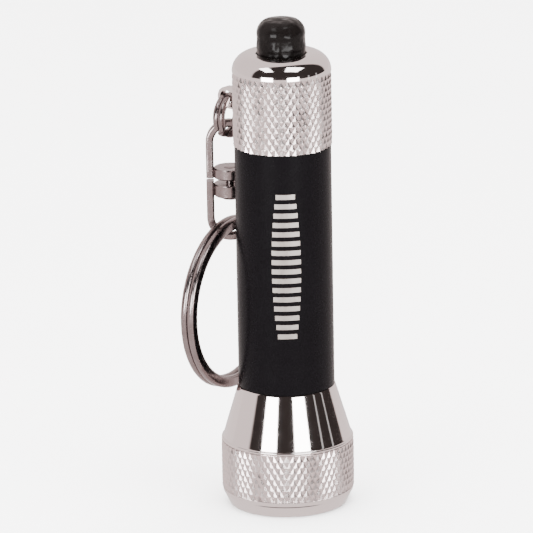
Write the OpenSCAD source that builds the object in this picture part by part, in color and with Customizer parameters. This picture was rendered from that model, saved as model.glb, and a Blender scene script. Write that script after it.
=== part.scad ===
// Keychain flashlight: knurled head, tubular barrel, knurled tail cap with a push button,
// and a swivel key chain on the cap's lug. Stands on its head: z = 0 is the front rim.

/* [Head] */
// Outside radius of the knurled collar
head_r = 9.5; // [9:0.1:10.5]
// Height of the plain bezel ring at the front
bezel_h = 1.8; // [1.6:0.1:2]
// Height of the top of the knurled collar
collar_top = 9.4; // [9.2:0.1:9.6]
// Height where the cone meets the barrel
cone_top = 17.6; // [17:0.1:18.5]
// Outside radius of the front rim
rim_r = 8.6; // [8.5:0.1:8.8]
// Radius of the opening that the light leaves through
mouth_r = 7.4; // [7:0.1:7.6]

/* [Lamp] */
// Number of lamps in the ring
led_count = 5; // [5:5]
// Radius of the circle that the lamps stand on
led_pitch_r = 4.5; // [4.4:0.05:4.6]
// Radius of one lamp
led_r = 2.5; // [2.3:0.05:2.5]

/* [Barrel] */
// Outside radius of the barrel
barrel_r = 6.88; // [6.85:0.01:7]
// Height of the barrel's upper shoulder
barrel_top = 53; // [51:0.5:56]
// Radius of the bore that holds the cells
bore_r = 6; // [5.98:0.01:6.02]

/* [Cells] */
// Number of button cells in the stack
cell_count = 4; // [4:4]
// Radius of one button cell
cell_r = 5.8; // [5.7:0.01:5.8]
// Thickness of one button cell
cell_h = 5.4; // [5:0.1:5.4]
// Height of the underside of the stack
stack_z = 23; // [22:0.1:24]

/* [Tail cap] */
// Outside radius of the knurled tail cap
cap_r = 7.05; // [7.02:0.01:7.3]
// Height of the whole cap
cap_h = 13.4; // [13:0.1:14]
// Radius of the polished shoulder
shoulder_r = 2.6; // [2:0.1:2.8]
// Radius of the push button
button_r = 3.5; // [3:0.1:3.6]
// Height that the button stands above the cap
button_h = 5; // [4:0.1:6]
// Distance that the button travels
button_travel = 1; // [0.6:0.1:1]

/* [Key chain] */
// Distance from the barrel's axis to the chain
chain_x = 10.2; // [10:0.1:10.5]
// Angle that the swivel links are turned away from the radial direction
link_yaw = 42; // [30:1:50]
// Angle that both rings are turned away from facing the barrel
ring_yaw = 10; // [0:1:12]
// Outside radius of the key ring
ring_r = 12.5; // [12:0.1:13]
// Outside radius of the small split ring
small_r = 3.2; // [3.2:0.05:3.4]
// Outside half-width of each swivel link
link_r = 3.4; // [3.3:0.05:3.5]
// Radius of the wire of each swivel link
wire_r = 0.6; // [0.5:0.05:0.6]

/* [Hidden] */
$fn = 96;

silver = [0.80, 0.77, 0.76];
black_metal = [0.12, 0.11, 0.12];
black_plastic = [0.06, 0.06, 0.06];
chain_metal = [0.55, 0.49, 0.48];
brass = [0.80, 0.65, 0.35];
cell_metal = [0.75, 0.75, 0.74];

// head
lens_seat_r = 8;              // radius of the lens and of what stands behind it
lens_z = 1.5;                 // front face of the lens
lens_h = 1.2;
bezel_skirt_r = 8.5;          // threaded skirt inside the collar
bezel_skirt_top = 3.8;
rim_edge_r = 0.5;             // rounding of the front rim
seam_r = 9.28;                // where the bezel ring meets the collar
head_bore_r = 7.8;            // pocket for the reflector and the board
board_z = 9.4;                // front face of the board
board_h = 1;
bead_h = 0.6;                 // small bead between the collar and the cone
cone_base_r = 9.3;
cone_end_r = 6.9;
thread_r = 6.4;               // male threads, as plain sleeves
thread_gap = 0.05;            // running clearance on the threads
seal_wire_r = 0.15;
seal_seat_r = 6.78;           // counterbores that trap the thread seals
seal_seat_h = 0.45;
neck_bottom = 11;             // lower end of the barrel's front neck

// tail
neck_top = 56.8;              // upper end of the barrel's rear neck
cap_z = barrel_top;
cap_top = cap_z + cap_h;
cap_thread_top = 59.4;        // end of the cap's threaded bore
cap_pocket_r = 5.6;
cap_roof_z = 64;              // underside of the cap's top wall
boot_flange_r = 4.8;
boot_flange_h = 1;
boot_gap = 0.1;               // radial clearance of the button in the cap
boot_edge_r = 2.1;
boot_top = cap_top + button_h;
boot_flange_z = cap_roof_z - 0.1 - boot_flange_h;
switch_r = 5.85;
switch_z = 49.5;
switch_top = 60;
switch_flange_r = 6.35;
switch_flange_z = 58.2;
plunger_r = 1.6;
plunger_z = 59.7;             // lower end of the plunger, inside the switch body
plunger_bore_r = 1.68;

// chain
lug_z = 58.2;                 // height of the lug's hole
lug_hole_r = 1.1;
lug_r = 1.55;
lug_t = 1.2;
small_t = 1;                  // radial thickness of the small split ring's wire
small_coil = 0.85;            // thickness of each of its two coils
small_mid = small_r - small_t / 2;
small_z = lug_z - small_mid;  // centre of the small split ring
link_mid = link_r - wire_r;
small_reach = 0.93;           // wire centre to the link's wire, so that the link can swing
upper_arch_z = small_z - small_mid + small_reach + wire_r - link_mid;
arm_bottom = 46.4;
drum_r = 2.4;
upper_drum_z = 46.35;
upper_drum_h = 1.5;
lower_drum_z = 43.7;
lower_drum_h = 1.8;
lower_arm_top = 45.9;
rivet_r = 0.6;
rivet_gap = 0.06;
rivet_head_r = 1.6;
rivet_head_h = 0.55;
ring_t = 1.7;                 // radial thickness of the key ring's coils
ring_coil = 1.075;            // thickness of each of its two coils
ring_z = 27.8;                // centre of the key ring
ring_mid_z = ring_z + ring_r - ring_t / 2;
ring_reach = 1.22;            // wire centre to the link's wire, so that the ring can swing
lower_arch_z = ring_mid_z - ring_reach - wire_r + link_mid;

// Points of an arc about [cx, cy], from angle a to angle b
function arc(cx, cy, r, a, b, steps = 8) =
    [for (i = [0 : steps]) let (t = a + (b - a) * i / steps) [cx + r * cos(t), cy + r * sin(t)]];

module at_height(z) {
    translate([0, 0, z]) children();
}

module tube(r_out, r_in, z0, z1) {
    at_height(z0)
        difference() {
            cylinder(r = r_out, h = z1 - z0);
            at_height(-1) cylinder(r = r_in, h = z1 - z0 + 2);
        }
}

module o_ring(mid_r, wire, z) {
    at_height(z) rotate_extrude() translate([mid_r, 0]) circle(r = wire, $fn = 24);
}

// ---- Lamp head ----

module bezel_ring() {
    color(silver)
        rotate_extrude()
            polygon(concat(
                [[mouth_r, 0]],
                arc(rim_r - rim_edge_r, rim_edge_r, rim_edge_r, -90, -20),
                [
                    [seam_r, bezel_h - 0.05], [bezel_skirt_r, bezel_h - 0.05],
                    [bezel_skirt_r, bezel_skirt_top], [lens_seat_r + 0.05, bezel_skirt_top],
                    [lens_seat_r + 0.05, lens_z - 0.6], [mouth_r, lens_z - 0.6],
                ]));
}

module lens_seal() {
    color(black_plastic) o_ring(mouth_r + 0.35, 0.3, lens_z - 0.3);
}

module lens() {
    color([0.85, 0.9, 0.95, 0.35]) at_height(lens_z) cylinder(r = lens_seat_r, h = lens_h);
}

module on_led_circle() {
    for (i = [0 : led_count - 1]) rotate([0, 0, 90 + i * 360 / led_count]) translate([led_pitch_r, 0, 0]) children();
}

module reflector() {
    rim_z = lens_z + lens_h;
    plate_z = 5.2;
    plate_h = 0.8;
    color(silver)
        difference() {
            rotate_extrude()
                polygon([
                    [0, plate_z], [7.15, plate_z], [7.4, rim_z], [lens_seat_r, rim_z],
                    [lens_seat_r, rim_z + 0.6], [head_bore_r - 0.05, rim_z + 0.6],
                    [head_bore_r - 0.05, board_z], [7.3, board_z], [7.3, plate_z + plate_h],
                    [0, plate_z + plate_h],
                ]);
            on_led_circle() at_height(plate_z - 1) cylinder(r = led_r + 0.08, h = plate_h + 2);
        }
}

module led(number) {
    dome_z = 4;
    flange_h = 1;
    color([0.93, 0.93, 0.8, 0.8])
        rotate([0, 0, 90 + (number - 1) * 360 / led_count])
            translate([led_pitch_r, 0, 0]) {
                rotate_extrude()
                    polygon(concat(
                        [[0, board_z], [led_r + 0.12, board_z], [led_r + 0.12, board_z - flange_h],
                         [led_r, board_z - flange_h]],
                        arc(0, dome_z + led_r, led_r, 0, -90, 12)));
            }
}

module led_board() {
    color([0.1, 0.35, 0.2]) at_height(board_z) cylinder(r = head_bore_r - 0.1, h = board_h);
}

module contact_holder() {
    color(black_plastic) tube(bore_r - 0.1, 2.8, board_z + board_h, 20.6);
}

module front_contact_spring() {
    color(brass) tube(2.4, 1.9, board_z + board_h, stack_z);
}

module head_shell() {
    color(silver)
        rotate_extrude()
            polygon([
                [bezel_skirt_r + 0.03, bezel_h], [seam_r + 0.02, bezel_h], [head_r, bezel_h + 0.65],
                [head_r, collar_top - 0.1], [head_r - 0.1, collar_top],
                [cone_base_r - 0.15, collar_top + 0.1], [head_r - 0.08, collar_top + 0.25],
                [head_r - 0.08, collar_top + 0.45], [cone_base_r, collar_top + bead_h],
                [cone_end_r, cone_top], [seal_seat_r, cone_top],
                [seal_seat_r, cone_top - seal_seat_h], [thread_r + thread_gap, cone_top - seal_seat_h],
                [thread_r + thread_gap, board_z + board_h], [head_bore_r, board_z + board_h],
                [head_bore_r, bezel_skirt_top], [bezel_skirt_r + 0.03, bezel_skirt_top],
            ]);
}

module head_seal() {
    color(black_plastic) o_ring(thread_r + 0.03 + seal_wire_r, seal_wire_r, cone_top - 0.2);
}

// ---- Barrel ----

module barrel() {
    color(black_metal)
        difference() {
            rotate_extrude()
                polygon([
                    [0, neck_bottom], [thread_r - 0.2, neck_bottom], [thread_r, neck_bottom + 0.2],
                    [thread_r, cone_top], [barrel_r - 0.1, cone_top], [barrel_r, cone_top + 0.1],
                    [barrel_r, barrel_top - 0.1], [barrel_r - 0.1, barrel_top], [thread_r, barrel_top],
                    [thread_r, neck_top - 0.2], [thread_r - 0.2, neck_top], [0, neck_top],
                ]);
            at_height(neck_bottom - 1) cylinder(r = bore_r, h = neck_top - neck_bottom + 2);
        }
}

module battery_sleeve() {
    color([0.7, 0.75, 0.8, 0.4])
        tube(bore_r - 0.03, cell_r + 0.03, stack_z - 0.5, stack_z + cell_count * cell_h + 0.5);
}

module cell(number) {
    cap_step = 0.5;
    color(cell_metal)
        at_height(stack_z + (number - 1) * cell_h) {
            cylinder(r = cell_r, h = cell_h - cap_step);
            cylinder(r = cell_r - 1.1, h = cell_h);
        }
}

// ---- Tail cap and switch ----

module tail_seal() {
    color(black_plastic) o_ring(thread_r + 0.03 + seal_wire_r, seal_wire_r, barrel_top + 0.2);
}

module tail_cap() {
    flat_r = cap_r - shoulder_r;
    color(silver)
        difference() {
            union() {
                rotate_extrude()
                    polygon(concat(
                        [[0, cap_z + 0.05], [cap_r - 0.15, cap_z + 0.05], [cap_r, cap_z + 0.2]],
                        arc(flat_r, cap_top - shoulder_r, shoulder_r, 0, 90, 10),
                        [[0, cap_top]]));
                // lug for the key chain
                translate([-chain_x, lug_t / 2, lug_z]) rotate([90, 0, 0]) cylinder(r = lug_r, h = lug_t);
                translate([-chain_x, -lug_t / 2, lug_z - lug_r]) cube([chain_x - 6.6, lug_t, 2 * lug_r]);
            }
            translate([-chain_x, lug_t, lug_z]) rotate([90, 0, 0]) cylinder(r = lug_hole_r, h = 2 * lug_t);
            at_height(cap_z - 1) cylinder(r = seal_seat_r, h = 1 + seal_seat_h);
            at_height(cap_z - 1) cylinder(r = thread_r + thread_gap, h = cap_thread_top - cap_z + 1);
            at_height(cap_z) cylinder(r = cap_pocket_r, h = cap_roof_z - cap_z);
            at_height(cap_z) cylinder(r = button_r + boot_gap, h = cap_h + 1);
        }
}

module switch_ring() {
    color(brass) tube(thread_r, switch_r + 0.05, neck_top + 0.2, switch_flange_z);
}

module switch_body() {
    color(black_plastic)
        difference() {
            union() {
                at_height(switch_z) cylinder(r = switch_r, h = switch_flange_z - switch_z);
                at_height(switch_flange_z) cylinder(r = switch_flange_r, h = cap_thread_top - switch_flange_z);
                at_height(cap_thread_top - 0.1) cylinder(r = cap_pocket_r - 0.05, h = switch_top - cap_thread_top + 0.1);
            }
            at_height(plunger_z - button_travel - 0.2) cylinder(r = plunger_bore_r, h = 10);
        }
}

module tail_contact_spring() {
    color(brass) tube(2.6, 2.1, stack_z + cell_count * cell_h, switch_z);
}

module switch_spring() {
    color(cell_metal) tube(2.9, 2.4, switch_top, boot_flange_z);
}

module switch_plunger() {
    color(brass) at_height(plunger_z) cylinder(r = plunger_r, h = boot_flange_z - plunger_z);
}

module button_boot() {
    color(black_plastic)
        rotate_extrude()
            polygon(concat(
                [[0, boot_flange_z], [boot_flange_r, boot_flange_z],
                 [boot_flange_r, boot_flange_z + boot_flange_h], [button_r, boot_flange_z + boot_flange_h]],
                arc(button_r - boot_edge_r, boot_top - boot_edge_r, boot_edge_r, 0, 90, 10),
                [[0, boot_top]]));
}

// ---- Key chain ----

module on_chain() {
    translate([-chain_x, 0, 0]) children();
}

// Two flat coils side by side, as a ring about the X axis
module split_ring(outer_r, radial, coil, bevel) {
    rotate([0, 90, 0])
        rotate_extrude()
            for (side = [-1, 1])
                translate([outer_r - radial, side < 0 ? -coil : 0])
                    polygon([
                        [bevel, 0], [radial - bevel, 0], [radial, side < 0 ? bevel : bevel / 4],
                        [radial, side < 0 ? coil - bevel / 4 : coil - bevel], [radial - bevel, coil],
                        [bevel, coil], [0, side < 0 ? coil - bevel / 4 : coil - bevel],
                        [0, side < 0 ? bevel : bevel / 4],
                    ]);
}

module small_split_ring() {
    color(chain_metal)
        on_chain() at_height(small_z) rotate([0, 0, ring_yaw]) split_ring(small_r, small_t, small_coil, 0.3);
}

// A wire arch about the Y axis, open downwards
module arch() {
    rotate([90, 0, 0]) rotate_extrude(angle = 180) translate([link_mid, 0]) circle(r = wire_r, $fn = 32);
}

module link_arms(z0, z1) {
    for (side = [-1, 1]) translate([side * link_mid, 0, z0]) cylinder(r = wire_r, h = z1 - z0, $fn = 32);
}

module upper_swivel_link() {
    color(chain_metal)
        on_chain() rotate([0, 0, link_yaw])
            difference() {
                union() {
                    at_height(upper_arch_z) arch();
                    link_arms(arm_bottom, upper_arch_z);
                    at_height(upper_drum_z) cylinder(r = drum_r, h = upper_drum_h);
                }
                at_height(upper_drum_z - 1) cylinder(r = rivet_r, h = upper_drum_h + 2);
            }
}

module swivel_rivet() {
    head_z = lower_drum_z - 0.05 - rivet_head_h;
    color(chain_metal)
        on_chain() {
            at_height(head_z) cylinder(r = rivet_head_r, h = rivet_head_h);
            at_height(head_z) cylinder(r = rivet_r, h = upper_drum_z + upper_drum_h + 0.15 - head_z);
        }
}

module lower_swivel_link() {
    color(chain_metal)
        on_chain() rotate([0, 0, link_yaw])
            difference() {
                union() {
                    at_height(lower_arch_z) mirror([0, 0, 1]) arch();
                    link_arms(lower_arch_z, lower_arm_top);
                    at_height(lower_drum_z) cylinder(r = drum_r, h = lower_drum_h);
                }
                at_height(lower_drum_z - 1) cylinder(r = rivet_r + rivet_gap, h = lower_drum_h + 2);
            }
}

module key_ring() {
    color(chain_metal)
        on_chain() at_height(ring_z) rotate([0, 0, ring_yaw]) split_ring(ring_r, ring_t, ring_coil, 0.4);
}

bezel_ring();
lens_seal();
lens();
reflector();
led(1);  // led_1
led(2);  // led_2
led(3);  // led_3
led(4);  // led_4
led(5);  // led_5
led_board();
contact_holder();
front_contact_spring();
head_shell();
head_seal();
barrel();
battery_sleeve();
cell(1);  // cell_1
cell(2);  // cell_2
cell(3);  // cell_3
cell(4);  // cell_4
tail_seal();
tail_cap();
switch_ring();
switch_body();
tail_contact_spring();
switch_spring();
switch_plunger();
button_boot();
small_split_ring();
upper_swivel_link();
swivel_rivet();
lower_swivel_link();
key_ring();
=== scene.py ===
# %% [markdown]
# A keychain flashlight, modelled
# The engineering model gives every part a place and a size. This lesson dresses those parts: knurled grips,
# a turned and polished cone, a black anodised tube, a glossy rubber button and a dark nickel key chain.

# %% Load the frame
import math

import bmesh
import bpy
from mathutils import Matrix, Vector


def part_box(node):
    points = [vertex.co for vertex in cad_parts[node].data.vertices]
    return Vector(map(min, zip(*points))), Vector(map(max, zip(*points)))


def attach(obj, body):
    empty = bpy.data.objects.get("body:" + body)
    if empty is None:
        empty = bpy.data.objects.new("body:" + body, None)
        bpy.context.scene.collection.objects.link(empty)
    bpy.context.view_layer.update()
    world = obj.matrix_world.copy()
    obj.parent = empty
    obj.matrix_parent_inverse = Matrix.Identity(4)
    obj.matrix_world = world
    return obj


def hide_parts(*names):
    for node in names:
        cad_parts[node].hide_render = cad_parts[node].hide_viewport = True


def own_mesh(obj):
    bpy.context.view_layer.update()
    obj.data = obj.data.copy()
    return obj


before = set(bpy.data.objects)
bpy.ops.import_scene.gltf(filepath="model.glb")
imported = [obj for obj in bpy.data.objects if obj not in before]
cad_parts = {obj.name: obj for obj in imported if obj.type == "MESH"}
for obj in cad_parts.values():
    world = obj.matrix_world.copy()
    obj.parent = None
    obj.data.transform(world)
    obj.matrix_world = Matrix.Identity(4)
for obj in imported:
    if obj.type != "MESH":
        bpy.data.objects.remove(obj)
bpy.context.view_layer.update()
MM = 0.001

# %% [markdown]
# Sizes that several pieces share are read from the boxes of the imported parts, so that a piece made here
# always fits its neighbours. Everything else is worked out from these.

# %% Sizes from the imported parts
def low(node, axis):
    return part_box(node)[0][axis] / MM


def high(node, axis):
    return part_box(node)[1][axis] / MM


X, Z = 0, 2
head_r = high("head_shell", X)
bezel_top = low("head_shell", Z)
cone_top = high("head_shell", Z)
barrel_r = high("barrel", X)
barrel_ends = (low("barrel", Z), high("barrel", Z))
cap_r = high("tail_cap", X)
cap_bottom = low("tail_cap", Z)
cap_top = high("tail_cap", Z)
boot_top = high("button_boot", Z)
boot_bottom = low("button_boot", Z)
chain_x = (low("swivel_rivet", X) + high("swivel_rivet", X)) / 2
print(f"head {2 * head_r:.1f} mm across, barrel {2 * barrel_r:.2f} mm, {boot_top:.1f} mm long")

# %% [markdown]
# ## Camera
# A long lens far away keeps the sides of the tube parallel, as in a catalogue picture. The camera looks
# down a little, so the top of the cap shows as a shallow ellipse, and it leans by about a degree.

# %% Camera
VIEW_TURN = math.radians(42)
VIEW_TILT = math.radians(16.5)
VIEW_LEAN = math.radians(-1.0)
CAMERA_AWAY = 900
FIELD = 75.9  # millimetres across the frame at the object

to_camera = Vector((
    math.sin(VIEW_TURN) * math.cos(VIEW_TILT),
    -math.cos(VIEW_TURN) * math.cos(VIEW_TILT),
    math.sin(VIEW_TILT),
))
to_right = Vector((math.cos(VIEW_TURN), math.sin(VIEW_TURN), 0))
to_back = Vector((-math.sin(VIEW_TURN), math.cos(VIEW_TURN), 0))
AIM_HEIGHT = 34.9
AIM_LEFT = 2.6  # the key ring hangs out to the left, so the middle of the picture lies a little that way
aim = (Vector((0, 0, AIM_HEIGHT)) - to_right * AIM_LEFT) * MM

bpy.ops.object.camera_add(location=aim + to_camera * CAMERA_AWAY * MM)
camera = bpy.context.object
camera.name = "camera"
camera.data.sensor_width = 36
camera.data.lens = camera.data.sensor_width * CAMERA_AWAY / FIELD
camera.data.clip_start = 0.01
turn = (-to_camera).to_track_quat("-Z", "Y")
camera.rotation_euler = (turn.to_matrix() @ Matrix.Rotation(VIEW_LEAN, 3, "Z")).to_euler()
bpy.context.scene.camera = camera
print(f"lens {camera.data.lens:.0f} mm")

# %% [markdown]
# ## Studio
# Polished metal shows nothing but what stands around it, so the room is the biggest part of its look.
# Two tall white panels stand in front, left and right of the camera, with darkness between and beside
# them, and two thin strips further round. Two diffusers hang overhead, and the back of the room is pale.
# The floor is plain and nearly white; its own fill light doesn't show in the metal.

# %% Floor
def select_only(*things):
    bpy.ops.object.select_all(action="DESELECT")
    for thing in things:
        thing.select_set(True)
    bpy.context.view_layer.objects.active = things[0]


bpy.ops.object.select_all(action="DESELECT")
bpy.ops.mesh.primitive_plane_add(size=4, location=(0, 0, 0))
floor = bpy.context.object
floor.name = "floor"
floor.visible_glossy = False

# %% Light panels
def panel(name, turn, away, middle, width, height, power):
    """A soft panel facing the object. Turn is in degrees to the right of the camera."""
    angle = math.radians(turn)
    direction = -to_back * math.cos(angle) + to_right * math.sin(angle)
    place = (direction * away + Vector((0, 0, middle))) * MM
    bpy.ops.object.light_add(type="AREA", location=place)
    light = bpy.context.object
    light.name = name
    light.data.shape = "RECTANGLE"
    light.data.size = width * MM
    light.data.size_y = height * MM
    light.data.energy = power
    light.visible_camera = False
    light.rotation_euler = (-direction).to_track_quat("-Z", "Y").to_euler()
    return light


PANEL_AWAY = 220
PANEL_MIDDLE = 66
PANEL_HEIGHT = 80
panel("panel left", -33.5, PANEL_AWAY, PANEL_MIDDLE, 105, PANEL_HEIGHT, 0.5)
panel("panel right", 26, PANEL_AWAY, PANEL_MIDDLE, 108, PANEL_HEIGHT, 0.5)


def overhead(name, right, back, height, width, depth, power):
    place = (to_right * right + to_back * back + Vector((0, 0, height))) * MM
    bpy.ops.object.light_add(type="AREA", location=place)
    light = bpy.context.object
    light.name = name
    light.data.shape = "RECTANGLE"
    light.data.size = width * MM
    light.data.size_y = depth * MM
    light.data.energy = power
    light.visible_camera = False
    light.rotation_euler = (0, 0, VIEW_TURN)
    return light


overhead("diffuser left", -165, -135, 350, 120, 190, 0.5)
overhead("diffuser right", 130, -135, 350, 180, 190, 0.8)
fill = overhead("floor fill", 0, 100, 900, 1600, 1600, 115)
fill.visible_glossy = False
STRIP_WIDTH = 12
STRIP_POWER = 0.0024
for name, turn in (("strip inner", 64), ("strip outer", 86)):
    panel(name, turn, PANEL_AWAY, PANEL_MIDDLE, STRIP_WIDTH, PANEL_HEIGHT, STRIP_POWER)

# %% [markdown]
# ## A small language for materials
# A material is arithmetic on sockets. `Wire` wraps one socket, and its operators add Math nodes, so a
# mask reads as an expression. `Finish` owns one material: its `node` method adds any other node, sets its
# settings first and then its inputs, which may be plain values or wires.

# %% Wire and Finish
class Wire:
    def __init__(self, finish, socket):
        self.finish = finish
        self.socket = socket

    def maths(self, operation, first, second):
        return self.finish.node("ShaderNodeMath", {"operation": operation}, {0: first, 1: second})

    def __add__(self, other):
        return self.maths("ADD", self, other)

    def __radd__(self, other):
        return self.maths("ADD", other, self)

    def __sub__(self, other):
        return self.maths("SUBTRACT", self, other)

    def __rsub__(self, other):
        return self.maths("SUBTRACT", other, self)

    def __mul__(self, other):
        return self.maths("MULTIPLY", self, other)

    def __rmul__(self, other):
        return self.maths("MULTIPLY", other, self)

    def __pow__(self, other):
        return self.maths("POWER", self, other)


class Finish:
    def __init__(self, name, tree=None):
        if tree is None:
            self.material = bpy.data.materials.new(name)
            self.material.use_nodes = True
            tree = self.material.node_tree
            self.shader = tree.nodes["Principled BSDF"]
        self.tree = tree
        self.place = self.node("ShaderNodeTexCoord", output="Object")

    def node(self, kind, settings=None, values=None, output=0):
        new = self.tree.nodes.new(kind)
        for key, value in (settings or {}).items():
            if key == "stops":
                self.set_stops(new.color_ramp, value)
            else:
                setattr(new, key, value)
        for key, value in (values or {}).items():
            self.feed(new.inputs[key], value)
        return Wire(self, new.outputs[output])

    def set_stops(self, ramp, stops):
        while len(ramp.elements) < len(stops):
            ramp.elements.new(1)
        for element, (position, level) in zip(ramp.elements, stops):
            element.position = position
            element.color = (*level, 1) if isinstance(level, tuple) else (level, level, level, 1)

    def feed(self, socket, value):
        if isinstance(value, Wire):
            self.tree.links.new(value.socket, socket)
        else:
            socket.default_value = value

    def set(self, **values):
        """Shader sockets by name, with underscores for spaces. Colours may be three numbers."""
        for key, value in values.items():
            if isinstance(value, tuple) and len(value) == 3:
                value = (*value, 1)
            self.feed(self.shader.inputs[key.replace("_", " ").title().replace("Ior", "IOR")], value)
        return self

    def split(self):
        return [self.node("ShaderNodeSeparateXYZ", values={0: self.place}, output=i) for i in range(3)]

    def noise(self, scale, detail=3, rough=0.5, vector=None):
        return self.node(
            "ShaderNodeTexNoise",
            values={"Vector": vector or self.place, "Scale": scale, "Detail": detail, "Roughness": rough},
            output="Fac",
        )

    def ramp(self, wire, *stops):
        return self.node("ShaderNodeValToRGB", {"stops": stops}, {0: wire})

    def mix(self, mask, first, second):
        first, second = [(*colour, 1) if isinstance(colour, tuple) else colour for colour in (first, second)]
        return self.node("ShaderNodeMix", {"data_type": "RGBA"}, {0: mask, 6: first, 7: second}, output=2)

    def bump(self, height, depth, strength=1):
        """Depth is in millimetres."""
        return self.node(
            "ShaderNodeBump", values={"Height": height, "Distance": depth * MM, "Strength": strength},
            output="Normal",
        )

    def rings(self, scale, along):
        """Noise that varies along the turning axis and the radius, but hardly around: lathe marks."""
        x, y, z = self.split()
        radius = (x * x + y * y) ** 0.5
        angle = self.maths_atan(y, x)
        vector = self.node("ShaderNodeCombineXYZ", values={0: radius * scale, 1: z * scale, 2: angle * along})
        return self.noise(1, 4, 0.6, vector)

    def maths_atan(self, y, x):
        return self.node("ShaderNodeMath", {"operation": "ARCTAN2"}, {0: y, 1: x})


finishes = {}


def dress(finish_name, *things):
    for thing in things:
        thing.data.materials.clear()
        thing.data.materials.append(finishes[finish_name].material)


# %% [markdown]
# ## Room light
# The world is bright behind the object and dark around the camera. Below the horizon it is a pale table:
# the metal mirrors that, and not the floor. The camera itself sees a plain wall, whichever way it looks.

# %% Room
world = bpy.data.worlds.new("studio")
bpy.context.scene.world = world
world.use_nodes = True
room = Finish("room", world.node_tree)
direction = room.node("ShaderNodeTexCoord", output="Generated")
turned = room.node(
    "ShaderNodeVectorRotate", {"rotation_type": "Z_AXIS"}, {"Vector": direction, "Angle": -VIEW_TURN}
)
across = room.node("ShaderNodeSeparateXYZ", values={0: turned}, output=0)
away = room.node("ShaderNodeSeparateXYZ", values={0: turned}, output=1)
around = room.node("ShaderNodeMath", {"operation": "ARCTAN2"}, {0: across, 1: 0 - away}) * (180 / math.pi)
DARK, PALE, BELOW = (0.050, 0.040, 0.038), (1.38, 1.20, 1.17), (1.48, 1.29, 1.26)
part_of_turn = (around + 180) * (1 / 360)
# the room is dark from the left edge to the right edge, in degrees round from the camera, softly blended
LEFT_EDGE = (-75, -71)
RIGHT_EDGE = (116, 121)
left_out, left_in, right_in, right_out = [(180 + turn) / 360 for turn in LEFT_EDGE + RIGHT_EDGE]
dark_front = room.ramp(
    part_of_turn, (0.0, 1.0), (left_out, 1.0), (left_in, 0.0), (right_in, 0.0), (right_out, 1.0), (1.0, 1.0))
wall = room.mix(dark_front, DARK, PALE)
upward = room.node("ShaderNodeSeparateXYZ", values={0: turned}, output=2)
wall = room.mix(room.ramp(upward + 0.5, (0.0, 1.0), (0.498, 1.0), (0.502, 0.0)), wall, BELOW)
seen = room.node("ShaderNodeLightPath", output="Is Camera Ray")
wall = room.mix(seen, wall, (0.95, 0.95, 0.95))
world.node_tree.nodes["Background"].inputs["Strength"].default_value = 1.0
world.node_tree.links.new(wall.socket, world.node_tree.nodes["Background"].inputs["Color"])
print("room light ready")

# %% [markdown]
# ## Finishes
# Turned aluminium keeps the fine rings that the lathe tool leaves. Under the knurling tool the same metal
# turns duller. Anodised aluminium is a dark, slightly soft skin. Nickel plate is darker and warmer.

# %% Metals
def turned_aluminium():
    f = Finish("turned_aluminium")
    lathe = f.rings(9000, 0.6)
    cloud = f.noise(220, 3)
    f.set(
        base_color=f.mix(cloud, (0.76, 0.70, 0.69), (0.80, 0.745, 0.735)),
        metallic=1.0,
        roughness=f.ramp(f.noise(900, 4), (0.3, 0.055), (0.75, 0.085)),
        normal=f.bump(lathe, 0.0015, 0.3),
    )
    return f


def knurled_aluminium():
    f = Finish("knurled_aluminium")
    cloud = f.noise(500, 4)
    f.set(
        base_color=f.mix(cloud, (0.64, 0.565, 0.555), (0.76, 0.68, 0.67)),
        metallic=1.0,
        roughness=f.ramp(cloud, (0.3, 0.20), (0.7, 0.34)),
        normal=f.bump(f.noise(6000, 3), 0.004, 0.4),
    )
    return f


def black_anodised():
    f = Finish("black_anodised")
    grain = f.noise(7000, 3)
    f.set(
        base_color=f.mix(f.noise(160, 3), (0.0016, 0.0013, 0.0017), (0.0024, 0.0021, 0.0026)),
        roughness=f.ramp(f.noise(700, 4), (0.3, 0.24), (0.7, 0.30)),
        normal=f.bump(grain, 0.0006, 0.3),
    )
    f.set(specular_ior_level=0.05)
    return f


def gloss_rubber():
    f = Finish("gloss_rubber")
    swirl = f.noise(620, 1)
    f.set(
        base_color=f.mix(f.noise(300, 3), (0.002, 0.0016, 0.0016), (0.004, 0.0032, 0.003)),
        roughness=f.ramp(f.noise(900, 3), (0.35, 0.14), (0.7, 0.26)),
        normal=f.bump(swirl, 0.4, 0.8),
    )
    f.set(specular_ior_level=0.09)
    return f


def nickel_wire():
    f = Finish("nickel_wire")
    cloud = f.noise(700, 4)
    f.set(
        base_color=f.mix(cloud, (0.19, 0.155, 0.153), (0.33, 0.28, 0.28)),
        metallic=1.0,
        roughness=f.ramp(f.noise(1500, 3), (0.3, 0.16), (0.7, 0.30)),
        normal=f.bump(f.noise(1800, 3), 0.02, 0.35),
    )
    return f


def plain(name, dark, light, low_rough, high_rough, scale=900, depth=0.004, **more):
    """A finish with a little cloud in its colour and gloss, and a fine bump."""
    f = Finish(name)
    cloud = f.noise(scale, 3)
    f.set(
        base_color=f.mix(cloud, dark, light),
        roughness=f.ramp(cloud, (0.3, low_rough), (0.7, high_rough)),
        normal=f.bump(f.noise(scale * 5, 3), depth, 0.4),
        **more,
    )
    return f


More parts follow.
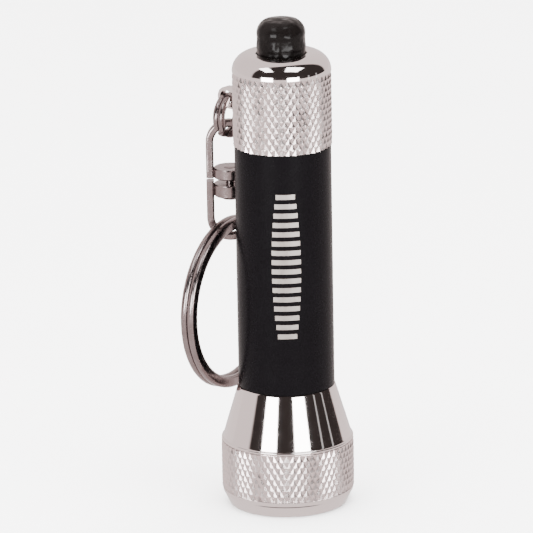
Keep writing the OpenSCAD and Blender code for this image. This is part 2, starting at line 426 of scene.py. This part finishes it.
finishes["turned_aluminium"] = turned_aluminium()
finishes["knurled_aluminium"] = knurled_aluminium()
finishes["black_anodised"] = black_anodised()
finishes["gloss_rubber"] = gloss_rubber()
finishes["nickel_wire"] = nickel_wire()
finishes["seal_rubber"] = plain("seal_rubber", (0.012, 0.012, 0.012), (0.03, 0.03, 0.03), 0.5, 0.7)
finishes["reflector_chrome"] = plain(
    "reflector_chrome", (0.80, 0.80, 0.80), (0.90, 0.90, 0.90), 0.05, 0.12, metallic=1.0, depth=0.001)
finishes["clear_lens"] = plain(
    "clear_lens", (0.93, 0.96, 0.97), (0.98, 1.0, 1.0), 0.01, 0.04, depth=0.0005,
    transmission_weight=1.0, ior=1.49)
finishes["led_epoxy"] = plain(
    "led_epoxy", (0.92, 0.92, 0.86), (1.0, 1.0, 0.95), 0.04, 0.10, depth=0.001,
    transmission_weight=0.85, ior=1.52)
finishes["led_phosphor"] = plain("led_phosphor", (0.80, 0.66, 0.10), (0.92, 0.80, 0.20), 0.45, 0.6)
finishes["board_laminate"] = plain("board_laminate", (0.02, 0.12, 0.05), (0.03, 0.18, 0.08), 0.3, 0.5)
finishes["black_plastic"] = plain("black_plastic", (0.012, 0.012, 0.013), (0.03, 0.03, 0.032), 0.35, 0.55)
finishes["contact_brass"] = plain(
    "contact_brass", (0.62, 0.42, 0.16), (0.78, 0.57, 0.26), 0.2, 0.38, metallic=1.0)
finishes["spring_steel"] = plain(
    "spring_steel", (0.50, 0.50, 0.50), (0.66, 0.65, 0.64), 0.2, 0.34, metallic=1.0)
finishes["clear_film"] = plain(
    "clear_film", (0.70, 0.78, 0.85), (0.80, 0.86, 0.92), 0.1, 0.25, transmission_weight=0.8, ior=1.45)
finishes["cell_steel"] = plain("cell_steel", (0.62, 0.61, 0.60), (0.74, 0.73, 0.72), 0.22, 0.38, metallic=1.0)
finishes["etched_mark"] = plain(
    "etched_mark", (0.40, 0.375, 0.35), (0.52, 0.49, 0.46), 0.35, 0.5, scale=2500, metallic=1.0)
finishes["floor_white"] = plain("floor_white", (0.86, 0.86, 0.86), (0.88, 0.88, 0.88), 0.6, 0.7, scale=30)
dress("floor_white", floor)
print(len(finishes), "finishes")

# %% [markdown]
# ## Turning
# Most of the light is lathe work. An outline is drawn by extruding one point from corner to corner, and
# the outline is then spun round the axis. Arcs in an outline come from a formula.

# %% Lathe
def arc(centre_r, centre_z, radius, start, end, steps=8):
    span = [math.radians(start + (end - start) * i / steps) for i in range(steps + 1)]
    return [(centre_r + radius * math.cos(a), centre_z + radius * math.sin(a)) for a in span]


def edit(thing):
    select_only(thing)
    bpy.ops.object.mode_set(mode="EDIT")
    bpy.ops.mesh.select_mode(type="VERT")
    bpy.ops.mesh.select_all(action="SELECT")


def done():
    bpy.ops.object.mode_set(mode="OBJECT")


def tidy(thing, sharp=35):
    """Merge doubles, point the faces outwards and smooth every edge that isn't sharp."""
    edit(thing)
    bpy.ops.mesh.remove_doubles(threshold=0.001 * MM)
    bpy.ops.mesh.normals_make_consistent(inside=False)
    done()
    bpy.ops.object.shade_smooth_by_angle(angle=math.radians(sharp))


def held(points, closed, hold=0.1):
    """The outline with a point added near both ends of each long line, which keeps a long face flat."""
    out = []
    for (r1, z1), (r2, z2) in zip(points, points[1:] + points[:1] * closed):
        out.append((r1, z1))
        length = math.hypot(r2 - r1, z2 - z1)
        if length > 5 * hold:
            share = hold / length
            out += [(r1 + (r2 - r1) * t, z1 + (z2 - z1) * t) for t in (share, 1 - share)]
    return out if closed else out + [points[-1]]


def turned_piece(name, outline, steps=128, closed=True, sharp=35):
    outline = held(outline, closed)
    bpy.ops.object.select_all(action="DESELECT")
    bpy.ops.mesh.primitive_plane_add(size=MM, location=(0, 0, 0))
    piece = bpy.context.object
    piece.name = name
    edit(piece)
    bpy.ops.mesh.merge(type="CENTER")
    points = [Vector((r, 0, z)) * MM for r, z in outline]
    bpy.ops.transform.translate(value=points[0])
    for here, there in zip(points, points[1:] + points[:1] * closed):
        bpy.ops.mesh.extrude_region_move(TRANSFORM_OT_translate={"value": there - here})
    bpy.ops.mesh.select_all(action="SELECT")
    bpy.ops.mesh.remove_doubles(threshold=0.0005 * MM)
    bpy.ops.mesh.spin(steps=steps, angle=2 * math.pi, center=(0, 0, 0), axis=(0, 0, 1))
    done()
    tidy(piece, sharp)
    return piece


def join(*pieces):
    select_only(*pieces)
    bpy.ops.object.join()
    return bpy.context.object


def finish_piece(piece, body, finish, slot, *nodes):
    dress(finish, piece)
    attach(piece, body)
    if nodes:
        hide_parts(*nodes)
    print(f"{piece.name}: {len(piece.data.polygons)} faces on {body}")
    return piece


# %% [markdown]
# ## Knurling
# A knurling wheel presses two sets of slanting grooves that cross, which leaves rows of small pyramids.
# The sleeve starts as an open cylinder with two columns of points for each pyramid. Every second point,
# as on a chessboard, is pushed in to make the grooves, and joining the groove points across each face
# gives the straight groove lines. The points are then bevelled into small flats: the wheel wasn't pressed
# in far enough to bring them to a point. The grooves run out at both ends of the sleeve. The number
# of columns is even, so that the pattern closes on itself all the way round.

# %% Knurled sleeve
def knurled_sleeve(name, radius, bottom, top, columns, pitch, depth, wall=0.5, flat=0.2):
    rows = round((top - bottom) / pitch)
    step = (top - bottom) / rows
    half_width = math.pi * radius / columns
    cut = depth / (1 - flat / half_width)   # how deep the grooves are below a full point
    point_r = radius + cut * flat / step    # the points stand proud until they are flattened
    bpy.ops.object.select_all(action="DESELECT")
    bpy.ops.mesh.primitive_cylinder_add(
        vertices=2 * columns, radius=point_r * MM, depth=(top - bottom) * MM,
        end_fill_type="NOTHING", location=(0, 0, (top + bottom) / 2 * MM))
    sleeve = bpy.context.object
    sleeve.name = name
    bpy.ops.object.transform_apply(location=True, rotation=True, scale=True)
    edit(sleeve)
    bpy.ops.mesh.select_mode(type="EDGE")
    bpy.ops.mesh.select_all(action="DESELECT")
    bm = bmesh.from_edit_mesh(sleeve.data)
    for e in bm.edges:
        e.select = abs(e.verts[0].co.z - e.verts[1].co.z) > step * MM / 2
    bpy.ops.mesh.subdivide(number_cuts=rows - 1)
    bm = bmesh.from_edit_mesh(sleeve.data)

    def row_and_column(v):
        row = round((v.co.z / MM - bottom) / step)
        column = round(math.atan2(v.co.y, v.co.x) / math.pi * columns)
        return row, column % (2 * columns)

    bpy.ops.mesh.select_mode(type="VERT")
    bpy.ops.mesh.select_all(action="DESELECT")
    for v in bm.verts:
        row, column = row_and_column(v)
        v.select = (row + column) % 2 == 1
    bm.select_flush_mode()
    bpy.ops.transform.shrink_fatten(value=-cut * MM)
    bpy.ops.mesh.vert_connect()
    bpy.ops.mesh.select_all(action="DESELECT")
    bm = bmesh.from_edit_mesh(sleeve.data)
    for v in bm.verts:
        v.select = row_and_column(v)[0] in (0, rows)
    bm.select_flush_mode()
    run_out = radius / point_r
    bpy.ops.transform.resize(value=(run_out, run_out, 1), center_override=(0, 0, 0))
    bm = bmesh.from_edit_mesh(sleeve.data)
    bpy.ops.mesh.select_all(action="DESELECT")
    for v in bm.verts:
        row, column = row_and_column(v)
        v.select = (row + column) % 2 == 0 and 0 < row < rows
    bm.select_flush_mode()
    bpy.ops.mesh.bevel(offset=flat * MM, affect="VERTICES", segments=1)
    # close the ends and the back
    bpy.ops.mesh.select_mode(type="EDGE")
    bpy.ops.mesh.select_all(action="DESELECT")
    bm = bmesh.from_edit_mesh(sleeve.data)
    for e in bm.edges:
        e.select = e.is_boundary
    bpy.ops.mesh.extrude_region_move()
    inward = (radius - wall) / radius
    bpy.ops.transform.resize(value=(inward, inward, 1), center_override=(0, 0, 0))
    bpy.ops.mesh.bridge_edge_loops()
    bpy.ops.mesh.select_all(action="SELECT")
    bpy.ops.mesh.normals_make_consistent(inside=False)
    done()
    bpy.ops.object.shade_flat()
    return sleeve


# %% [markdown]
# ## The head
# The collar, the bead above it and the cone are turned from one bar, so they are one piece: a lathe
# outline for the body, with a knurled sleeve let into it. The cone's foot has a small bead that catches
# the light, and a fine dark groove parts it from the knurling.

# %% Head shell
PITCH = 0.75        # thread pitch
COLLAR_TOP = 9.4
SEAM_R = 9.28       # radius where the bezel ring meets the collar
THREAD_R = 6.4      # outside radius of the male threads
SEAL_SEAT = (6.78, 0.45)
CONE_FOOT_R = 9.22
CONE_END_R = 6.93

skirt_r = 8.53
skirt_top = high("bezel_ring", Z)
board_back = high("led_board", Z)
pocket_r = high("led_board", X) + 0.1
knurl_bottom = bezel_top + 0.65
head_outline = [
    (skirt_r, bezel_top), (SEAM_R, bezel_top), (SEAM_R + 0.04, bezel_top + 0.05),
    (head_r - 0.06, knurl_bottom - 0.04), (head_r - 0.3, knurl_bottom + 0.05),
    (head_r - 0.3, COLLAR_TOP - 0.16), (head_r - 0.32, COLLAR_TOP + 0.02),
    (head_r - 0.16, COLLAR_TOP + 0.08),
    *arc(head_r - 0.27, COLLAR_TOP + 0.30, 0.21, -60, 80, 8),
    (CONE_FOOT_R, COLLAR_TOP + 0.56), (CONE_FOOT_R - 0.02, COLLAR_TOP + 0.62),
    (CONE_END_R + 0.04, cone_top - 0.10), (CONE_END_R - 0.02, cone_top), (SEAL_SEAT[0], cone_top),
    (SEAL_SEAT[0], cone_top - SEAL_SEAT[1]), (THREAD_R + 0.06, cone_top - SEAL_SEAT[1]),
    (THREAD_R + 0.06, board_back), (pocket_r, board_back), (pocket_r, skirt_top), (skirt_r, skirt_top),
]
head_body = turned_piece("head_shell_turned", head_outline, steps=160)
dress("turned_aluminium", head_body)
head_knurl = knurled_sleeve("head_knurl", head_r - 0.005, knurl_bottom, COLLAR_TOP - 0.02, 62, 0.86, 0.13)
dress("knurled_aluminium", head_knurl)
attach(head_body, "head")
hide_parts("head_shell")
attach(head_knurl, "head")
print("head:", len(head_body.data.polygons), "turned faces,", len(head_knurl.data.polygons), "knurl faces")

# %% [markdown]
# The bezel ring screws into the collar and holds the lens. Its rim, which the light stands on, is rounded.

# %% Bezel ring
mouth_r = 7.4
rim_r = high("bezel_ring", X) - 0.68
lens_front = low("lens", Z)
bezel_outline = [
    (mouth_r, 0.25), (mouth_r + 0.2, 0.06), (mouth_r + 0.4, 0.0),
    *arc(rim_r - 0.5, 0.5, 0.5, -90, -20, 8),
    (SEAM_R - 0.10, bezel_top - 0.16), (SEAM_R - 0.12, bezel_top - 0.05), (skirt_r - 0.04, bezel_top - 0.05),
    (skirt_r - 0.04, skirt_top), (8.06, skirt_top), (8.06, lens_front - 0.6), (mouth_r, lens_front - 0.6),
]
bezel = turned_piece("bezel_ring_turned", bezel_outline, steps=160)
finish_piece(bezel, "head", "turned_aluminium", "polished_aluminium", "bezel_ring")

# %% [markdown]
# ## Lamps and reflector
# Five clear lamps stand in a plated plate with a dished wall. Each lamp is a dome on a short cylinder
# with a flange, and inside it a small cup holds the yellow phosphor, which is what is seen of it unlit.

# %% Lamps
LED_PITCH_R = 4.5
for i in range(5):
    number = i + 1
    dress("led_epoxy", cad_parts[f"led_{number}"])
    angle = math.radians(90 + 72 * i)
    cup = turned_piece(
        f"phosphor_cup_{number}",
        [(0, 6.9), (0.75, 6.6), (0.95, 6.65), (0.95, 7.3), (0.4, 7.4), (0.35, 8.9), (0, 8.9)],
        steps=32, closed=False)
    edit(cup)
    across = Vector((math.cos(angle), math.sin(angle), 0)) * LED_PITCH_R * MM
    bpy.ops.transform.translate(value=across)
    done()
    finish_piece(cup, "head", "led_phosphor", "led_epoxy")

dress("reflector_chrome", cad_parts["reflector"])
dress("clear_lens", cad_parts["lens"])
dress("seal_rubber", *[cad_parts[n] for n in ("lens_seal", "head_seal", "tail_seal")])
dress("board_laminate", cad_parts["led_board"])
dress("black_plastic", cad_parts["contact_holder"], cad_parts["switch_body"])
dress("contact_brass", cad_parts["switch_ring"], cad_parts["switch_plunger"])
dress("clear_film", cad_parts["battery_sleeve"])
dress("cell_steel", *[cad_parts[f"cell_{i}"] for i in range(1, 5)])

# %% [markdown]
# ## Springs
# A coil spring is one wire swept along a helix: a small circle is turned and lifted by the Screw
# modifier. The ends are closed flat by capping the wire.

# %% Coil springs
def coil_spring(name, radius, wire, bottom, top, turns, body, finish, slot, node):
    bpy.ops.object.select_all(action="DESELECT")
    bpy.ops.mesh.primitive_circle_add(vertices=10, radius=wire * MM, fill_type="NGON")
    spring = bpy.context.object
    spring.name = name
    edit(spring)
    bpy.ops.transform.rotate(value=math.pi / 2, orient_axis="X", center_override=(0, 0, 0))
    bpy.ops.transform.translate(value=(radius * MM, 0, (bottom + wire) * MM))
    bpy.ops.mesh.delete(type="ONLY_FACE")
    done()
    screw = spring.modifiers.new("wind", "SCREW")
    screw.angle = 2 * math.pi * turns
    screw.screw_offset = (top - bottom - 2 * wire) * MM
    screw.steps = screw.render_steps = round(24 * turns)
    select_only(spring)
    bpy.ops.object.modifier_apply(modifier="wind")
    edit(spring)
    bpy.ops.mesh.select_all(action="DESELECT")
    bpy.ops.mesh.select_non_manifold()
    bpy.ops.mesh.edge_face_add()
    done()
    tidy(spring, 60)
    finish_piece(spring, body, finish, slot, node)
    return spring


def span(node):
    return low(node, Z), high(node, Z)


coil_spring("front_contact_coil", 2.15, 0.24, *span("front_contact_spring"), 9, "head",
            "contact_brass", "contact_brass", "front_contact_spring")
coil_spring("tail_contact_coil", 2.35, 0.24, *span("tail_contact_spring"), 4, "tail_cap",
            "contact_brass", "contact_brass", "tail_contact_spring")

# %% [markdown]
# ## The barrel
# The tube is turned with a shoulder at each end. Its necks carry the threads that the head and the cap
# run on. A thread is the same screw sweep as the springs: a V drawn for one pitch and wound up the neck.

# %% Barrel
def thread(name, radius, bottom, turns, depth=0.16, steps=64):
    bpy.ops.object.select_all(action="DESELECT")
    bpy.ops.mesh.primitive_plane_add(size=MM, location=(0, 0, 0))
    piece = bpy.context.object
    piece.name = name
    edit(piece)
    bpy.ops.mesh.merge(type="CENTER")
    corners = [(radius - depth, 0), (radius, 0.42 * PITCH), (radius, 0.58 * PITCH), (radius - depth, PITCH)]
    points = [Vector((r, 0, bottom + z)) * MM for r, z in corners]
    bpy.ops.transform.translate(value=points[0])
    for here, there in zip(points, points[1:]):
        bpy.ops.mesh.extrude_region_move(TRANSFORM_OT_translate={"value": there - here})
    done()
    screw = piece.modifiers.new("cut", "SCREW")
    screw.angle = 2 * math.pi
    screw.screw_offset = PITCH * MM
    screw.iterations = turns
    screw.steps = screw.render_steps = steps
    screw.use_merge_vertices = True
    screw.merge_threshold = 0.001 * MM
    select_only(piece)
    bpy.ops.object.modifier_apply(modifier="cut")
    # a wall behind the thread closes it
    edit(piece)
    bpy.ops.mesh.remove_doubles(threshold=0.001 * MM)
    bpy.ops.mesh.select_mode(type="EDGE")
    bpy.ops.mesh.select_all(action="DESELECT")
    bm = bmesh.from_edit_mesh(piece.data)
    for e in bm.edges:
        e.select = e.is_boundary
    bpy.ops.mesh.extrude_region_move()
    inward = (radius - depth - 0.1) / radius
    bpy.ops.transform.resize(value=(inward, inward, 1), center_override=(0, 0, 0))
    bpy.ops.mesh.bridge_edge_loops()
    done()
    tidy(piece, 30)
    return piece


BORE_R = 6.0
neck_r = THREAD_R - 0.17
shoulder = high("head_shell", Z)
tail_shoulder = cap_bottom - 0.05
barrel_outline = [
    (BORE_R, barrel_ends[0]), (neck_r - 0.1, barrel_ends[0]), (neck_r, barrel_ends[0] + 0.12),
    (neck_r, shoulder), (barrel_r - 0.08, shoulder), (barrel_r, shoulder + 0.08),
    (barrel_r, tail_shoulder - 0.08), (barrel_r - 0.08, tail_shoulder), (neck_r, tail_shoulder),
    (neck_r, barrel_ends[1] - 0.12), (neck_r - 0.1, barrel_ends[1]), (BORE_R, barrel_ends[1]),
]
tube = turned_piece("barrel_turned", barrel_outline, steps=160)
front_thread = thread("front_thread", THREAD_R - 0.01, barrel_ends[0] + 0.2, 6)
rear_thread = thread("rear_thread", THREAD_R - 0.01, tail_shoulder + 0.45, 3)
tube = join(tube, front_thread, rear_thread)
tube.name = "barrel_turned"
finish_piece(tube, "barrel", "black_anodised", "black_anodised", "barrel")

# %% [markdown]
# The real barrel is laser marked in bare silver. Here a plain ladder of short bars stands in its place:
# thin patches that follow the tube, just proud of the black skin.

# %% Barrel marking
MARK_TURN = math.degrees(VIEW_TURN) - 90 + 1.8
MARK_SPAN = (25.8, 47.7)
MARK_BARS = 16


def bar_patch(middle_turn, half_turn, bottom, top, radius, thick=0.02):
    """A small curved patch on the tube, as a spun rectangle."""
    bpy.ops.object.select_all(action="DESELECT")
    bpy.ops.mesh.primitive_plane_add(size=MM, location=(0, 0, 0))
    patch = bpy.context.object
    edit(patch)
    bpy.ops.transform.rotate(value=math.pi / 2, orient_axis="X", center_override=(0, 0, 0))
    bpy.ops.transform.resize(value=(thick, 1, top - bottom), center_override=(0, 0, 0))
    bpy.ops.transform.translate(value=(radius * MM, 0, (top + bottom) / 2 * MM))
    bpy.ops.transform.rotate(
        value=-math.radians(middle_turn - half_turn), orient_axis="Z", center_override=(0, 0, 0))
    bpy.ops.mesh.spin(steps=10, angle=-math.radians(2 * half_turn), center=(0, 0, 0), axis=(0, 0, 1))
    done()
    tidy(patch)
    return patch


bars = []
for i in range(MARK_BARS):
    share = (i + 0.5) / MARK_BARS
    middle = MARK_SPAN[0] + (MARK_SPAN[1] - MARK_SPAN[0]) * share
    width = 10 + 7.5 * math.sin(math.pi * share) ** 0.7
    bars.append(bar_patch(MARK_TURN, width, middle - 0.36, middle + 0.36, barrel_r + 0.002))
marking = join(*bars)
marking.name = "barrel_marking"
finish_piece(marking, "barrel", "etched_mark", "knurled_aluminium")

# %% [markdown]
# ## The tail cap
# The cap has a knurled skirt, a broad polished shoulder and a flat top with a hole for the button. The lug
# for the key chain stands out of its side, and the chain's small ring runs through the lug's hole.

# %% Tail cap
SHOULDER_R = 2.6
cap_knurl_top = cap_top - SHOULDER_R
boot_hole_r = 3.6
roof = boot_bottom + 1.1
pocket = (5.6, 59.4)
cap_outline = [
    (boot_hole_r, cap_top - 0.12), (boot_hole_r + 0.12, cap_top),
    *reversed(arc(cap_r - SHOULDER_R, cap_top - SHOULDER_R, SHOULDER_R, 0, 90, 24)),
    (cap_r - 0.26, cap_knurl_top - 0.02), (cap_r - 0.26, cap_bottom + 0.1),
    (cap_r - 0.30, cap_bottom), (SEAL_SEAT[0], cap_bottom), (SEAL_SEAT[0], cap_bottom + SEAL_SEAT[1]),
    (THREAD_R + 0.05, cap_bottom + SEAL_SEAT[1]), (THREAD_R + 0.05, pocket[1]), (pocket[0], pocket[1]),
    (pocket[0], roof), (boot_hole_r, roof),
]
cap = turned_piece("tail_cap_turned", cap_outline, steps=160, sharp=20)

LUG_T = 1.2
LUG_R = 1.55
LUG_HOLE_R = 1.1
lug_z = high("small_split_ring", Z) - 0.5


def lug():
    """A plate with a round end and a hole: a flat ring is drawn, its inner half stretched into the cap."""
    bpy.ops.object.select_all(action="DESELECT")
    bpy.ops.mesh.primitive_cylinder_add(
        vertices=64, radius=LUG_R * MM, depth=LUG_T * MM, rotation=(math.pi / 2, 0, 0),
        location=(chain_x * MM, 0, lug_z * MM))
    plate = bpy.context.object
    plate.name = "lug"
    bpy.ops.object.transform_apply(location=True, rotation=True, scale=True)
    edit(plate)
    bpy.ops.mesh.select_all(action="DESELECT")
    bm = bmesh.from_edit_mesh(plate.data)
    for v in bm.verts:
        v.select = v.co.x > (chain_x + 0.05) * MM
    bm.select_flush_mode()
    bpy.ops.transform.resize(value=(0, 1, 1), center_override=(-6.62 * MM, 0, lug_z * MM))
    done()
    bpy.ops.object.select_all(action="DESELECT")
    bpy.ops.mesh.primitive_cylinder_add(
        vertices=48, radius=LUG_HOLE_R * MM, depth=3 * LUG_T * MM, rotation=(math.pi / 2, 0, 0),
        location=(chain_x * MM, 0, lug_z * MM))
    drill = bpy.context.object
    select_only(plate)
    cut = plate.modifiers.new("drill", "BOOLEAN")
    cut.operation = "DIFFERENCE"
    cut.solver = "EXACT"
    cut.object = drill
    bpy.ops.object.modifier_apply(modifier="drill")
    bpy.data.objects.remove(drill)
    edge = plate.modifiers.new("edge", "BEVEL")
    edge.width = 0.12 * MM
    edge.segments = 2
    edge.limit_method = "ANGLE"
    edge.angle_limit = math.radians(50)
    bpy.ops.object.modifier_apply(modifier="edge")
    tidy(plate)
    return plate


cap = join(cap, lug())
cap.name = "tail_cap_turned"
finish_piece(cap, "tail_cap", "turned_aluminium", "knurled_aluminium", "tail_cap")
cap_knurl = knurled_sleeve("cap_knurl", cap_r - 0.005, cap_bottom, cap_knurl_top, 44, 0.80, 0.15)
finish_piece(cap_knurl, "tail_cap", "knurled_aluminium", "knurled_aluminium")

# %% [markdown]
# ## The button
# The boot is moulded in glossy rubber. It narrows at the foot, has a faint ridge above it, and its top is
# rounded like a pebble. The spring and plunger below it are hidden.

# %% Button boot
button_r = 3.5
flange_r = high("button_boot", X)
flange_top = boot_bottom + 1
boot_outline = [
    (0, boot_bottom), (flange_r, boot_bottom), (flange_r, flange_top), (button_r - 0.04, flange_top),
    (button_r - 0.04, cap_top + 0.55), (button_r + 0.01, cap_top + 0.8), (button_r + 0.02, cap_top + 1.0),
    (button_r, cap_top + 1.25), (button_r - 0.05, cap_top + 1.7), (button_r - 0.07, cap_top + 2.3),
    *arc(button_r - 2.15, boot_top - 2.18, 2.13, 0, 60, 8),
    (1.9, boot_top - 0.20), (1.2, boot_top - 0.07), (0.6, boot_top - 0.015), (0, boot_top),
]
boot = turned_piece("button_boot_moulded", boot_outline, steps=96, closed=False, sharp=50)
finish_piece(boot, "button", "gloss_rubber", "gloss_rubber", "button_boot")

switch_coil = coil_spring("switch_coil", 2.6, 0.2, *span("switch_spring"), 3, "tail_cap",
                          "spring_steel", "spring_steel", "switch_spring")
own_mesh(switch_coil)

# %% [markdown]
# ## Split rings
# A split ring is one flat wire wound twice, so it has two free ends. Each turn lies flat, and near the
# ends the wire steps across from one side to the other. The section is drawn as a rectangle with round
# corners and spun most of a turn; then it is moved across in small steps, and spun a second time.

# %% Split rings
STEP_ANGLE = 26  # degrees over which the wire crosses over


def put(thing, place, tilt=0, yaw=0):
    """Leans a piece about Y, turns it about Z, moves it to its place and applies all three to its mesh."""
    select_only(thing)
    thing.location = Vector(place) * MM
    thing.rotation_euler = (0, math.radians(tilt), math.radians(yaw))
    bpy.ops.object.transform_apply(location=True, rotation=True, scale=True)


def split_ring(name, outer_r, radial, coil, corner, centre_z, yaw, start, body, node, per_turn=120):
    middle_r = outer_r - radial / 2
    bpy.ops.object.select_all(action="DESELECT")
    bpy.ops.mesh.primitive_plane_add(size=MM, location=(0, 0, 0))
    ring = bpy.context.object
    ring.name = name
    edit(ring)
    bpy.ops.transform.resize(value=(radial - 0.004, coil - 0.03, 1), center_override=(0, 0, 0))
    bpy.ops.mesh.bevel(offset=corner * MM, affect="VERTICES", segments=4)
    bpy.ops.transform.rotate(value=math.pi / 2, orient_axis="X", center_override=(0, 0, 0))
    # the section now lies in the plane of the radius (X) and the ring's axis (Z)
    bpy.ops.transform.translate(value=(middle_r * MM, 0, -coil / 2 * MM))
    flat_angle = 360 - STEP_ANGLE
    flat_steps = round(per_turn * flat_angle / 360)
    bpy.ops.mesh.spin(steps=flat_steps, angle=math.radians(flat_angle), center=(0, 0, 0), axis=(0, 0, 1))
    cross_steps = 8
    for i in range(cross_steps):
        ease = [0.5 - 0.5 * math.cos(math.pi * j / cross_steps) for j in (i, i + 1)]
        bpy.ops.mesh.spin(
            steps=1, angle=math.radians(STEP_ANGLE / cross_steps), center=(0, 0, 0), axis=(0, 0, 1))
        bpy.ops.transform.translate(value=(0, 0, coil * (ease[1] - ease[0]) * MM))
    bpy.ops.mesh.spin(steps=flat_steps, angle=math.radians(flat_angle), center=(0, 0, 0), axis=(0, 0, 1))
    bpy.ops.mesh.select_all(action="SELECT")
    # stand it up with its axis along X and its ends near the top
    bpy.ops.transform.rotate(value=math.radians(start), orient_axis="Z", center_override=(0, 0, 0))
    done()
    put(ring, (chain_x, 0, centre_z), tilt=90, yaw=yaw)
    tidy(ring, 40)
    finish_piece(ring, body, "nickel_wire", "nickel_wire", node)
    return ring


RING_YAW = 10
ring_z = (low("key_ring", Z) + high("key_ring", Z)) / 2
small_z = (low("small_split_ring", Z) + high("small_split_ring", Z)) / 2
split_ring("key_ring_wound", high("key_ring", Z) - ring_z, 1.7, 1.075, 0.42, ring_z,
           RING_YAW, 330, "key_ring", "key_ring")
split_ring("small_ring_wound", high("small_split_ring", Z) - small_z, 1.0, 0.85, 0.28, small_z,
           RING_YAW, 60, "small_ring", "small_split_ring", per_turn=72)

# %% [markdown]
# ## The swivel
# Each half of the swivel is a strap bent into a U, with its ends swaged onto a round drum. A rivet joins
# the drums and lets them turn. The strap is a rectangle extruded up one arm, spun over the top and
# extruded down again.

# %% Swivel links
LINK_YAW = 42
STRAP = (1.1, 1.25)     # thickness in the bend, and width
LINK_R = 3.4
DRUM_R = 2.4


def strap_u(name, arch_z, foot_z, up):
    """A U in the XZ plane about the chain's axis; up is 1 when the bend is at the top."""
    bpy.ops.object.select_all(action="DESELECT")
    bpy.ops.mesh.primitive_plane_add(size=MM, location=(0, 0, 0))
    strap = bpy.context.object
    strap.name = name
    mid_r = LINK_R - STRAP[0] / 2
    edit(strap)
    bpy.ops.transform.resize(value=(STRAP[0], STRAP[1] * 1.25, 1), center_override=(0, 0, 0))
    bpy.ops.mesh.bevel(offset=0.3 * MM, affect="VERTICES", segments=4)
    bpy.ops.transform.translate(value=(mid_r * MM, 0, foot_z * MM))
    straight = arch_z - foot_z
    bpy.ops.mesh.extrude_region_move(TRANSFORM_OT_translate={"value": (0, 0, straight * 0.28 * MM)})
    bpy.ops.mesh.extrude_region_move(TRANSFORM_OT_translate={"value": (0, 0, straight * 0.22 * MM)})
    bpy.ops.transform.resize(value=(1, 0.8, 1), center_override=(0, 0, 0))
    bpy.ops.mesh.extrude_region_move(TRANSFORM_OT_translate={"value": (0, 0, straight * 0.5 * MM)})
    bpy.ops.mesh.spin(
        steps=28, angle=math.pi * up, center=(0, 0, arch_z * MM), axis=(0, 1, 0))
    bpy.ops.mesh.extrude_region_move(TRANSFORM_OT_translate={"value": (0, 0, -straight * 0.5 * MM)})
    bpy.ops.mesh.extrude_region_move(TRANSFORM_OT_translate={"value": (0, 0, -straight * 0.22 * MM)})
    bpy.ops.transform.resize(value=(1, 1.25, 1), center_override=(0, 0, 0))
    bpy.ops.mesh.extrude_region_move(TRANSFORM_OT_translate={"value": (0, 0, -straight * 0.28 * MM)})
    done()
    tidy(strap, 40)
    return strap


def drum(name, bottom, top, hole_r, edge=0.16):
    outline = [(hole_r, bottom), (DRUM_R - edge, bottom), (DRUM_R, bottom + edge), (DRUM_R, top - edge),
               (DRUM_R - edge, top), (hole_r, top)]
    return turned_piece(name, outline, steps=64)


def swivel_half(name, arch_z, foot_z, up, drum_span, hole_r, body, node):
    half = join(strap_u(name, arch_z, foot_z, up), drum(name + "_drum", *drum_span, hole_r))
    half.name = name
    put(half, (chain_x, 0, 0), yaw=LINK_YAW)
    tidy(half, 40)
    finish_piece(half, body, "nickel_wire", "nickel_wire", node)
    return half


upper_arch_z = high("upper_swivel_link", Z) - LINK_R
lower_arch_z = low("lower_swivel_link", Z) + LINK_R
upper_foot = low("upper_swivel_link", Z)
lower_foot = high("lower_swivel_link", Z)
upper_drum = (upper_foot, upper_foot + 1.5)
lower_drum = (43.7, 45.5)
swivel_half("upper_swivel_strap", upper_arch_z, upper_foot + 0.02, 1, upper_drum, 0.6, "upper_link",
            "upper_swivel_link")
swivel_half("lower_swivel_strap", lower_arch_z, lower_foot, -1, lower_drum, 0.66, "lower_link",
            "lower_swivel_link")

# %% [markdown]
# The rivet has a domed head below the lower drum, and its upper end is peened over, almost flush.

# %% Swivel rivet
rivet_bottom = low("swivel_rivet", Z)
rivet_top = high("swivel_rivet", Z)
rivet_outline = [
    (0, rivet_bottom), (0.7, rivet_bottom + 0.03), (1.2, rivet_bottom + 0.14), (1.5, rivet_bottom + 0.32),
    (1.58, rivet_bottom + 0.54), (0.6, rivet_bottom + 0.55), (0.6, rivet_top - 0.14),
    (0.85, rivet_top - 0.12), (0.62, rivet_top - 0.03), (0, rivet_top),
]
rivet = turned_piece("swivel_rivet_headed", rivet_outline, steps=48, closed=False)
put(rivet, (chain_x, 0, 0))
finish_piece(rivet, "upper_link", "nickel_wire", "nickel_wire", "swivel_rivet")

# %% [markdown]
# ## Box corners
# `corners` turns a box into a list of its corners. The finished model has to stay inside the
# engineering model's box.

# %% Finish
def corners(box):
    return [list(corner) for corner in box]
